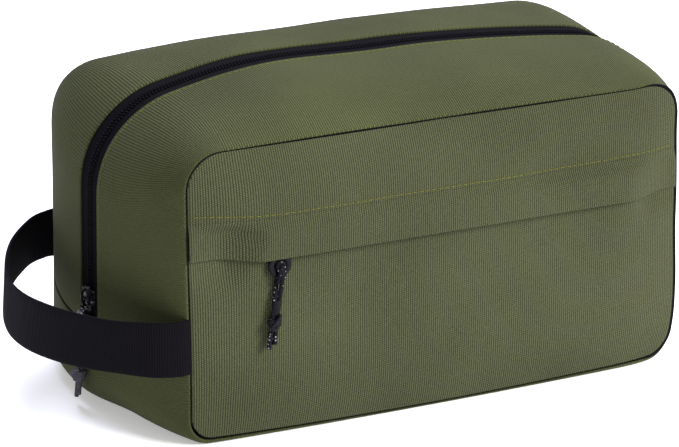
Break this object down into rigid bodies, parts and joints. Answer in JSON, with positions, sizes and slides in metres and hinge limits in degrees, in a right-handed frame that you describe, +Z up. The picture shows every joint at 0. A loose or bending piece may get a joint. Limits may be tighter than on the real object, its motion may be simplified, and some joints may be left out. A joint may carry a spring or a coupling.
{
  "type": "toiletry bag",
  "caption": "Soft box-shaped toiletry bag with a zipped mouth over the top and ends, a flap-covered zipped front pocket and a webbing carrying loop on one end.",
  "frame": {"origin": "middle of the base, on the surface that the bag stands on", "axes": "+X along the bag, away from the carrying loop; -Y the pocket side; +Z up"},
  "size_m": [0.307, 0.1511, 0.1478],
  "materials": {
    "olive_cloth": "matt ribbed oxford weave, foam backed",
    "grey_lining": "smooth plain-weave polyester lining",
    "black_binding": "folded grosgrain binding",
    "black_zip_tape": "woven zip tape",
    "black_zip_coil": "nylon coil",
    "dark_metal": "black enamel on zinc, worn bright on the edges",
    "black_cord": "braided cord with light flecks",
    "black_webbing": "ribbed polypropylene webbing"
  },
  "bodies": {
    "bag_front": {"base_gusset": "olive_cloth", "base_lining": "grey_lining", "base_seam_binding": "black_binding", "front_gusset": "olive_cloth", "front_gusset_lining": "grey_lining", "front_inner_wall": "grey_lining", "front_lining": "grey_lining", "front_pocket_panel": "olive_cloth", "front_seam_binding": "black_binding", "front_upper_panel": "olive_cloth", "main_zip_coil_foot_left": "black_zip_coil", "main_zip_coil_foot_right": "black_zip_coil", "main_zip_coil_front": "black_zip_coil", "main_zip_stop_left": "dark_metal", "main_zip_stop_right": "dark_metal", "main_zip_tape_foot_left": "black_zip_tape", "main_zip_tape_foot_right": "black_zip_tape", "main_zip_tape_front": "black_zip_tape", "pocket_lining": "grey_lining", "pocket_zip_coil_lower": "black_zip_coil", "pocket_zip_coil_upper": "black_zip_coil", "pocket_zip_stop_left": "dark_metal", "pocket_zip_stop_right": "dark_metal", "pocket_zip_tape_lower": "black_zip_tape", "pocket_zip_tape_upper": "black_zip_tape", "rear_gusset_foot_left": "olive_cloth", "rear_gusset_foot_right": "olive_cloth", "rear_lining_foot_left": "grey_lining", "rear_lining_foot_right": "grey_lining"},
    "rear_half": {"back_panel": "olive_cloth", "rear_gusset": "olive_cloth", "rear_gusset_lining": "grey_lining", "back_lining": "grey_lining", "rear_seam_binding": "black_binding", "main_zip_tape_rear": "black_zip_tape", "main_zip_coil_rear": "black_zip_coil"},
    "flap": {"pocket_flap": "olive_cloth", "pocket_flap_facing": "olive_cloth"},
    "pocket_slider": {"pocket_zip_slider": "dark_metal", "pocket_pull_tab": "dark_metal"},
    "pocket_pull": {"pocket_pull_cord": "black_cord", "pocket_pull_knot": "black_cord"},
    "main_slider": {"main_zip_slider": "dark_metal"},
    "main_tab": {"main_pull_tab": "dark_metal"},
    "main_pull": {"main_pull_cord": "black_cord", "main_pull_knot": "black_cord"},
    "handle": {"side_handle": "black_webbing"}
  },
  "joints": [
    {"name": "mouth_open", "type": "hinge", "parent": "bag_front", "child": "rear_half", "pos_m": [0, 0.068, 0.002], "axis": [-1, 0, 0], "range_deg": [0, 16]},
    {"name": "flap_lift", "type": "hinge", "parent": "bag_front", "child": "flap", "pos_m": [0, -0.077, 0.102], "axis": [-1, 0, 0], "range_deg": [0, 50]},
    {"name": "pocket_zip", "type": "slide", "parent": "bag_front", "child": "pocket_slider", "axis": [1, 0, 0], "range_m": [0, 0.165]},
    {"name": "pocket_pull_swing", "type": "hinge", "parent": "pocket_slider", "child": "pocket_pull", "pos_m": [-0.0825, -0.07715, 0.08], "axis": [0, -1, 0], "range_deg": [-60, 60]},
    {"name": "main_zip", "type": "slide", "parent": "bag_front", "child": "main_slider", "axis": [0, 0, 1], "range_m": [0, 0.04]},
    {"name": "main_tab_flip", "type": "hinge", "parent": "main_slider", "child": "main_tab", "pos_m": [-0.14174, -0.0048, 0.0515], "axis": [0, 1, 0], "range_deg": [0, 42]},
    {"name": "main_pull_swing", "type": "hinge", "parent": "main_tab", "child": "main_pull", "pos_m": [-0.14174, -0.0048, 0.041], "axis": [1, 0, 0], "range_deg": [-40, 40]},
    {"name": "handle_swing", "type": "hinge", "parent": "bag_front", "child": "handle", "pos_m": [-0.12, 0, 0.05125], "axis": [0, -0.9974, -0.0722], "range_deg": [-30, 25], "stiffness_Nm_per_rad": 0.08}
  ]
}
